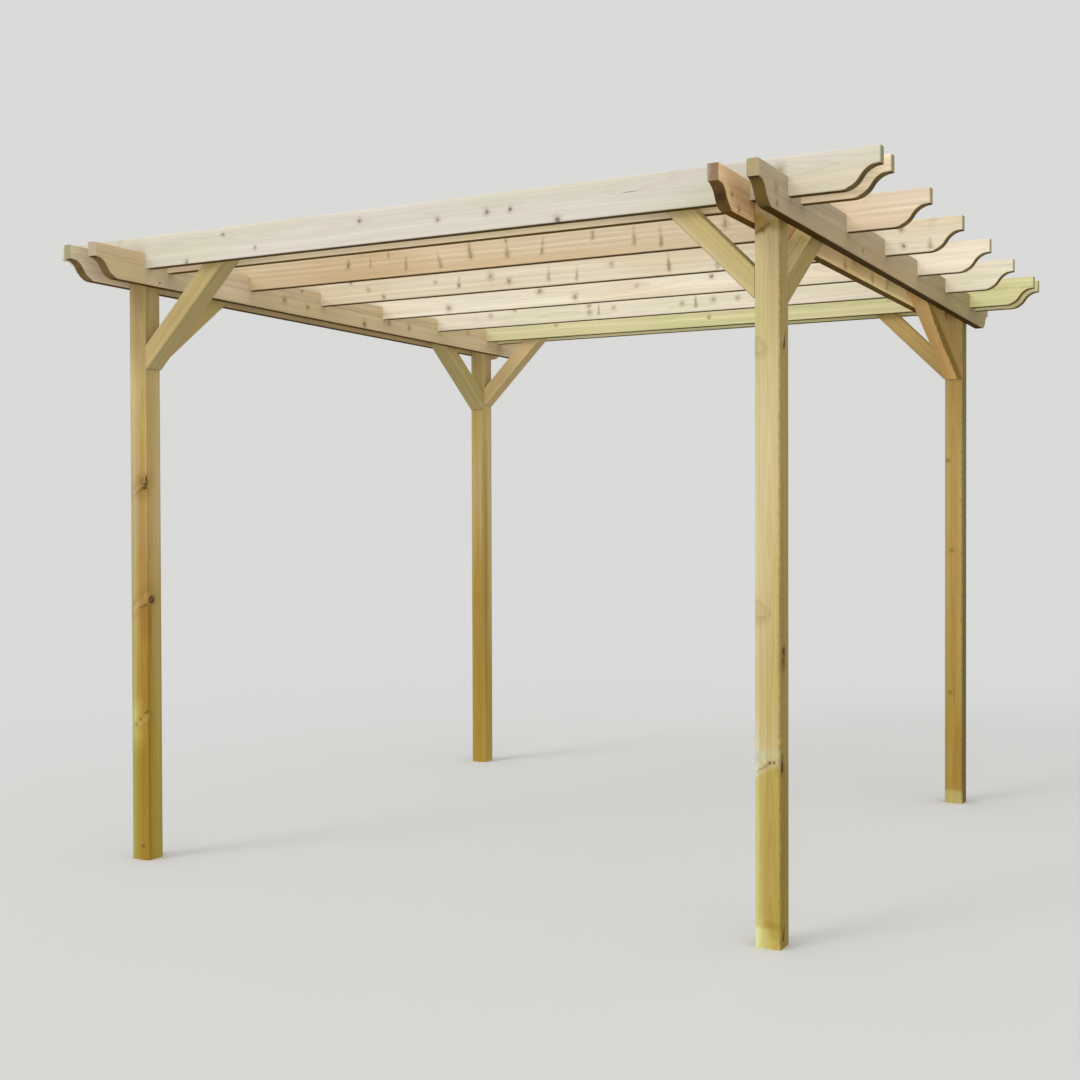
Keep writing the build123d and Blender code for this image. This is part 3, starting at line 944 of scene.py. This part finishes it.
def add_screw(mesh, place, outward):
    """A round screw head that lies on a face, with a six lobed recess."""
    turn = outward.to_track_quat("Z", "Y").to_matrix()
    angles = [math.tau * step / HEAD_STEPS for step in range(HEAD_STEPS)]
    recess = [RECESS_RADIUS + RECESS_WAVE * math.cos(LOBES * angle) for angle in angles]
    outlines = [
        ([HEAD_RADIUS] * HEAD_STEPS, 0.0),
        ([HEAD_RADIUS - HEAD_RISE] * HEAD_STEPS, HEAD_RISE),
        (recess, HEAD_RISE),
        ([radius - HEAD_RISE for radius in recess], HEAD_RISE / 4),
    ]
    rings = []
    for radii, height in outlines:
        points = [Vector((r * math.cos(a), r * math.sin(a), height)) for a, r in zip(angles, radii)]
        rings.append([mesh.verts.new(place + turn @ point) for point in points])
    for outer, inner in zip(rings, rings[1:]):
        for step in range(HEAD_STEPS):
            after = (step + 1) % HEAD_STEPS
            mesh.faces.new((outer[step], outer[after], inner[after], inner[step]))
    mesh.faces.new(rings[-1])


def steel_material():
    """Olive coated steel with a fine uneven coat."""
    material = bpy.data.materials.new("coated_steel")
    material.use_nodes = True
    tree = material.node_tree
    g = Graph(tree)
    surface = tree.nodes["Principled BSDF"]
    surface.inputs["Metallic"].default_value = 0.6
    place = g.scaled(g.node("ShaderNodeTexCoord").outputs["Object"], STEEL_NOISE)
    uneven = g.noise(place, 2.0)
    feed(tree, surface.inputs["Base Color"], g.mix(uneven, DARK_STEEL, LIGHT_STEEL))
    rough = g.math("MULTIPLY", uneven, STEEL_UNEVENNESS)
    feed(tree, surface.inputs["Roughness"], g.math("ADD", STEEL_ROUGHNESS, rough))
    return material


def screws(name, places, material):
    """One object with a screw head at each place, given with the way it faces."""
    mesh = bmesh.new()
    for place, outward in places:
        add_screw(mesh, Vector(place), Vector(outward))
    data = bpy.data.meshes.new(name)
    mesh.to_mesh(data)
    mesh.free()
    data.materials.append(material)
    made = bpy.data.objects.new(name, data)
    bpy.context.scene.collection.objects.link(made)
    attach(made, BODY)


RAFTERS = [timber for name, timber in timbers.items() if name.endswith("rafter")]
POSTS = [timber for name, timber in timbers.items() if name.endswith("post")]
RAILS = [
    timbers[f"{place}_rail"] for place in ("left_outer", "left_inner", "right_inner", "right_outer")
]

steel = steel_material()
rafter_places = [
    ((rail.centre.x, rafter.centre.y, rafter.high.z), (0, 0, 1))
    for rafter in RAFTERS for rail in RAILS
]
screws("rafter_screws", rafter_places, steel)
rail_places = []
for post in POSTS:
    side = math.copysign(1, post.centre.x)
    rail = timbers["right_inner_rail" if side > 0 else "left_inner_rail"]
    face = rail.low.x if side > 0 else rail.high.x
    for rise in RAIL_SCREW_RISES:
        rail_places.append(((face, post.centre.y, rail.low.z + rise), (-side, 0, 0)))
screws("rail_screws", rail_places, steel)

FLOOR_SIZE = 160

# The sky: how bright it is from below the horizon up to the sides, from there to straight
# overhead, and how much less at the back than at the sides, which is as much more at the front
SKY_LOW = (-0.60, -0.20, 0.03, 0.90)
SKY_HIGH = (0.2, 1.0, 1.0, 0.85)
SKY_BACK = 0.25

# The lamps: strength, spread in degrees, and where they shine to
LAMPS = {
    "key": (0.68, 25, (0.43, 0.74, -0.52)),
    "low": (0.64, 30, (-0.15, 0.93, 0.36)),
    "fill": (0.62, 40, (-0.85, 0.40, 0.34)),
}


def soft_lamp(name, strength, spread, towards):
    """A far, broad lamp; its spread in degrees softens its shadows."""
    lamp = bpy.data.lights.new(name, "SUN")
    lamp.energy = strength
    lamp.angle = math.radians(spread)
    made = bpy.data.objects.new(name, lamp)
    made.rotation_euler = Vector(towards).to_track_quat("-Z", "Y").to_euler()
    bpy.context.scene.collection.objects.link(made)


def pale_floor():
    """A wide floor that catches shadows and throws no colour on the wood."""
    bpy.ops.mesh.primitive_plane_add(size=FLOOR_SIZE)
    floor = bpy.context.object
    floor.name = "floor"
    material = bpy.data.materials.new("pale_floor")
    material.use_nodes = True
    shader = material.node_tree.nodes["Principled BSDF"]
    shader.inputs["Base Color"].default_value = (*FLOOR_COLOUR, 1)
    shader.inputs["Roughness"].default_value = 0.95
    shader.inputs["Specular IOR Level"].default_value = 0.0
    floor.data.materials.append(material)
    floor.visible_diffuse = False
    floor.visible_shadow = False


def soft_sky():
    """A sky that is brightest at the sides and to the front, with a plain backdrop."""
    world = bpy.data.worlds.new("soft_sky")
    bpy.context.scene.world = world
    world.use_nodes = True
    tree = world.node_tree
    tree.nodes.clear()
    g = Graph(tree)
    direction = g.node("ShaderNodeTexCoord").outputs["Generated"]
    parts = g.node("ShaderNodeSeparateXYZ")
    feed(tree, parts.inputs[0], direction)
    height = parts.outputs["Z"]
    sky = g.math("MULTIPLY", g.ramp(height, *SKY_LOW), g.ramp(height, *SKY_HIGH))
    facing = g.math("SUBTRACT", 1.0, g.math("MULTIPLY", parts.outputs["Y"], SKY_BACK))
    sky = g.math("MULTIPLY", sky, facing)
    seen = g.node("ShaderNodeLightPath").outputs["Is Camera Ray"]
    colour = g.mix(seen, g.scaled(WHITE, sky), SKY_COLOUR)
    background = g.node("ShaderNodeBackground")
    feed(tree, background.inputs["Color"], colour)
    leave = g.node("ShaderNodeOutputWorld")
    feed(tree, leave.inputs["Surface"], background.outputs["Background"])


def camera():
    """A camera with a plain lens, turned, tipped and rolled as the constants say."""
    data = bpy.data.cameras.new("camera")
    data.sensor_width = SENSOR_WIDTH
    data.lens = CAMERA_LENS
    data.clip_end = CAMERA_REACH
    made = bpy.data.objects.new("camera", data)
    bpy.context.scene.collection.objects.link(made)
    turn = Matrix.Rotation(math.radians(CAMERA_YAW), 4, "Z")
    tip = Matrix.Rotation(math.radians(90 + CAMERA_PITCH), 4, "X")
    roll = Matrix.Rotation(math.radians(CAMERA_ROLL), 4, "Z")
    made.matrix_world = Matrix.Translation(CAMERA_PLACE) @ turn @ tip @ roll
    bpy.context.scene.camera = made


pale_floor()
soft_sky()
for name, lamp in LAMPS.items():
    soft_lamp(name, *lamp)
bpy.context.scene.view_settings.view_transform = "Standard"
camera()
